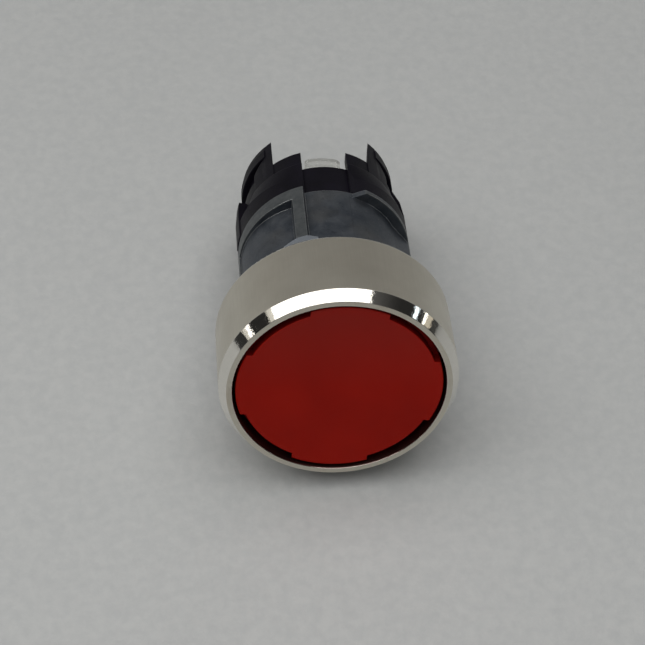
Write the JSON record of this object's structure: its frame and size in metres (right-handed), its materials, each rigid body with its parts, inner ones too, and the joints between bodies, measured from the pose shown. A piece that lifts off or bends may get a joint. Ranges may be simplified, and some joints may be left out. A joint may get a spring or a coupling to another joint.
{
  "type": "illuminated push button operator head",
  "caption": "Round spring-return push button head with a nickel bezel, red flat lens, die-cast barrel and castellated actuator ring, for a round panel cut-out.",
  "frame": {"origin": "on the button's axis, in the plane of the bezel's rear face, where the head seats on the front of the panel", "axes": "+Y runs back along the button's axis, away from the face that is pressed; +Z runs through the middle of the upper key channel; +X is to the right seen from the front"},
  "size_m": [0.029, 0.0408, 0.029],
  "materials": {
    "nickel_plate": "satin",
    "gasket_rubber": "matte",
    "seal_rubber": "matte",
    "zinc_die_cast": "satin",
    "black_plastic": "matte",
    "steel_plate": "satin",
    "spring_steel": "satin",
    "spring_wire": "satin",
    "red_lens": "satin",
    "white_diffuser": "matte",
    "clear_plastic": "gloss",
    "ring_plastic": "matte"
  },
  "bodies": {
    "housing": {"bezel_ring": "nickel_plate", "panel_gasket": "gasket_rubber", "bezel_seal": "seal_rubber", "mounting_body": "zinc_die_cast", "plunger_seal": "seal_rubber", "seal_retainer": "black_plastic", "spring_retainer": "steel_plate", "retaining_ring": "spring_steel", "return_spring": "spring_wire"},
    "pusher": {"lens_cap": "red_lens", "lens_seal": "seal_rubber", "diffuser_disc": "white_diffuser", "lens_carrier": "black_plastic", "plunger": "black_plastic", "light_guide": "clear_plastic", "actuator_ring": "ring_plastic"}
  },
  "joints": [
    {"name": "button_press", "type": "slide", "parent": "housing", "child": "pusher", "axis": [0, 1, 0], "range_m": [0, 0.0043], "stiffness_N_per_m": 350, "springref_m": -0.007, "deforming": ["return_spring"]}
  ]
}
